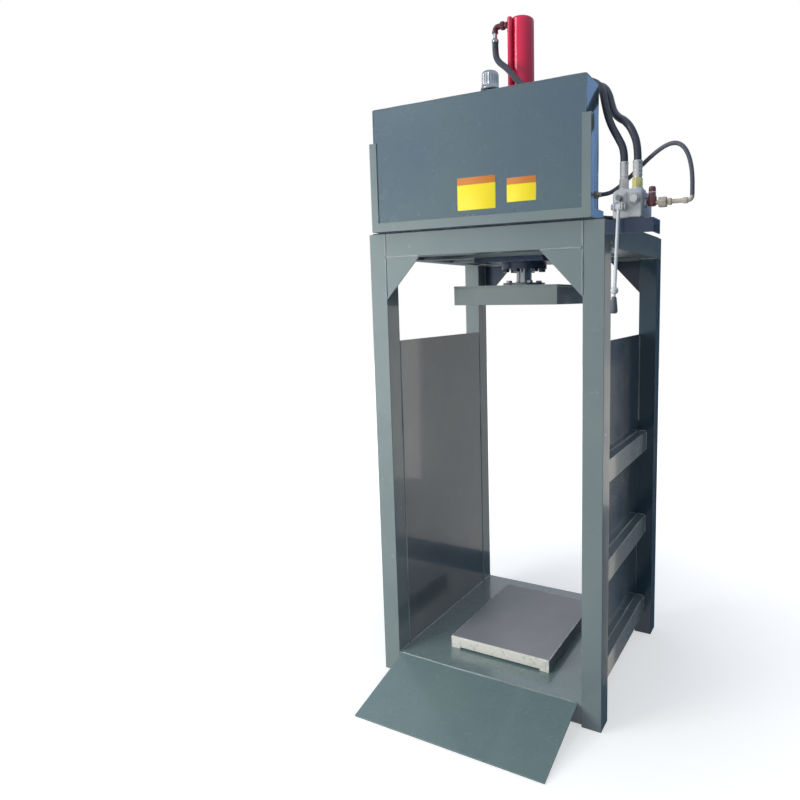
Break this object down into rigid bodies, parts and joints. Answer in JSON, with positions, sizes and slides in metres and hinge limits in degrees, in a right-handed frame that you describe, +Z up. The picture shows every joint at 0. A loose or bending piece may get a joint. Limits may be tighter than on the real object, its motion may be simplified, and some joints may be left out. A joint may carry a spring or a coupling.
{
  "type": "recycling baler",
  "caption": "Upright recycling baler: welded square-tube frame, hydraulic ram over a raised bed, oil tank, motor and pump on top, hand valve on the side.",
  "frame": {"origin": "on the ground, midway between the four posts, under the ram's axis", "axes": "+Z up, +X to the right of an operator facing the loading side, +Y away from the operator to the back"},
  "size_m": [0.978, 0.896, 2.119],
  "materials": {
    "frame_paint": "glossy grey-green enamel",
    "floor_paint": "worn grey enamel",
    "platen_paint": "glossy grey-green enamel",
    "tank_paint": "glossy blue-grey enamel",
    "cylinder_red": "glossy crimson enamel",
    "rod_chrome": "polished hard chrome",
    "steel": "turned steel",
    "zinc_bolts": "zinc plated",
    "zinc_fittings": "yellow and clear zinc plated",
    "elbow_red": "dark red enamel over plated steel",
    "hose_rubber": "smooth rubber cover",
    "cap_chrome": "fluted chrome",
    "motor_paint": "semi-gloss dark blue-grey",
    "black_plastic": "moulded",
    "cast_aluminium": "as cast",
    "cast_valve": "silver paint over a casting",
    "relief_paint": "red-brown enamel",
    "knob_plastic": "moulded grip"
  },
  "bodies": {
    "frame": {"bell_housing": "cast_aluminium", "bottom_rail_back": "frame_paint", "bottom_rail_front": "frame_paint", "cable_gland": "black_plastic", "cylinder_barrel": "cylinder_red", "cylinder_beam_back": "frame_paint", "cylinder_beam_front": "frame_paint", "cylinder_elbows": "elbow_red", "cylinder_end_cap": "cylinder_red", "cylinder_gland": "cylinder_red", "cylinder_mount_plate": "frame_paint", "deck_plate": "frame_paint", "fan_cover": "black_plastic", "floor_plate": "floor_paint", "gland_bolts": "zinc_bolts", "gussets_back": "frame_paint", "gussets_front": "frame_paint", "hose_fittings": "zinc_fittings", "loading_ramp": "floor_paint", "motor_housing": "motor_paint", "oil_tank": "tank_paint", "post_back_left": "frame_paint", "post_back_right": "frame_paint", "post_front_left": "frame_paint", "post_front_right": "frame_paint", "pressing_bed": "floor_paint", "pressure_hose": "hose_rubber", "pump_body": "cast_aluminium", "ram_hose_rear": "hose_rubber", "ram_hose_side": "hose_rubber", "relief_valve": "relief_paint", "return_hose": "hose_rubber", "side_panel_left": "frame_paint", "side_panel_right": "frame_paint", "side_ribs_left": "frame_paint", "side_ribs_right": "frame_paint", "suction_pipe": "steel", "tank_cradle": "frame_paint", "terminal_box": "motor_paint", "top_rail_back": "frame_paint", "top_rail_front": "frame_paint", "top_rail_left": "frame_paint", "top_rail_right": "frame_paint", "transfer_pipe": "cylinder_red", "tube_caps": "frame_paint", "valve_body": "cast_valve", "valve_bracket": "frame_paint"},
    "ram": {"ram_rod": "rod_chrome", "ram_piston": "steel", "platen_pan": "platen_paint", "platen_lid": "platen_paint", "rod_flange": "steel", "rod_flange_bolts": "zinc_bolts"},
    "lever": {"valve_lever": "steel", "lever_knob": "knob_plastic"},
    "spool": {"valve_spool": "steel"},
    "rotor": {"motor_rotor": "steel", "pump_gear_drive": "steel"},
    "idler": {"pump_gear_idler": "steel"},
    "breather": {"breather_cap": "cap_chrome"}
  },
  "joints": [
    {"name": "ram_slide", "type": "slide", "parent": "frame", "child": "ram", "axis": [0, 0, -1], "range_m": [0, 0.645]},
    {"name": "lever_tilt", "type": "hinge", "parent": "frame", "child": "lever", "pos_m": [0.421, -0.342, 1.464], "axis": [1, 0, 0], "range_deg": [-15, 15], "stiffness_Nm_per_rad": 3},
    {"name": "spool_slide", "type": "slide", "parent": "frame", "child": "spool", "axis": [0, -1, 0], "range_m": [-0.0058, 0.0058]},
    {"name": "rotor_spin", "type": "hinge", "parent": "frame", "child": "rotor", "pos_m": [0, 0.195, 1.544], "axis": [1, 0, 0], "continuous": true},
    {"name": "idler_spin", "type": "hinge", "parent": "frame", "child": "idler", "pos_m": [0, 0.195, 1.508], "axis": [1, 0, 0], "continuous": true},
    {"name": "breather_twist", "type": "hinge", "parent": "frame", "child": "breather", "pos_m": [0.037, -0.295, 1.82], "axis": [0, 0, 1], "range_deg": [0, 90]}
  ],
  "couplings": [
    {"joint": "spool_slide", "follows": "lever_tilt", "m_per_rad": 0.022},
    {"joint": "idler_spin", "follows": "rotor_spin", "ratio": -1}
  ]
}
